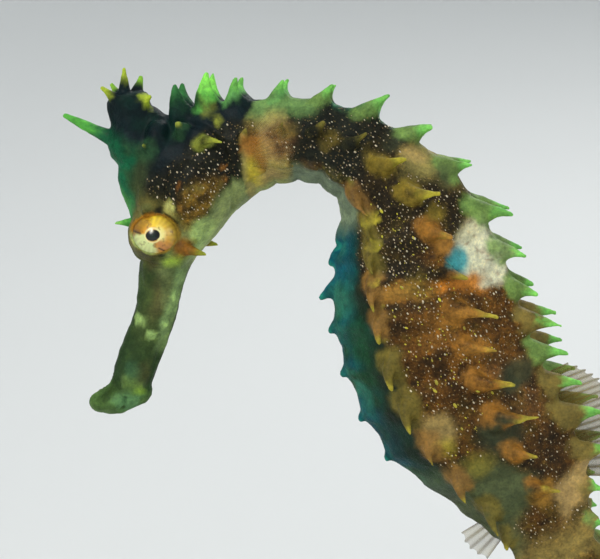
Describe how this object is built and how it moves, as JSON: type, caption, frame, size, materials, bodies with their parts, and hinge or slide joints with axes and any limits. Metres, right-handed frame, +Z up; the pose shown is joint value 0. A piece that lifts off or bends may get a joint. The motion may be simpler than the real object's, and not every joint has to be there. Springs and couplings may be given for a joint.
{
  "type": "seahorse display model",
  "caption": "Life-size long-snouted thorny seahorse with bowed head and curled tail, a still museum model held by short rods on a small wooden base.",
  "frame": {"origin": "middle of the stand's flat underside", "axes": "+Z up, the animal faces -X, its left side is towards -Y and its plane of symmetry is XZ"},
  "size_m": [0.074, 0.044, 0.099],
  "materials": {
    "skin": "matt skin over bony rings, dark brown with pale flecks, tan thorn bases and yellow-green thorn tips",
    "fins": "thin, part-clear membrane over fine rays",
    "eyes": "wet gloss, golden orange iris and black pupil",
    "stand_wood": "satin varnished dark hardwood",
    "stand_brass": "polished"
  },
  "bodies": {
    "root": {"snout": "skin", "head": "skin", "coronet": "skin", "neck": "skin", "trunk_upper": "skin", "trunk_middle": "skin", "trunk_lower": "skin", "tail_base": "skin", "tail_upper": "skin", "tail_lower": "skin", "tail_bend": "skin", "tail_curl_outer": "skin", "tail_curl_top": "skin", "tail_curl_inner": "skin", "tail_tip": "skin", "dorsal_fin": "fins", "anal_fin": "fins", "pectoral_fin_left": "fins", "pectoral_fin_right": "fins", "eye_left": "eyes", "eye_right": "eyes", "stand_base": "stand_wood", "stand_rod_front": "stand_brass", "stand_rod_back": "stand_brass"}
  },
  "joints": []
}
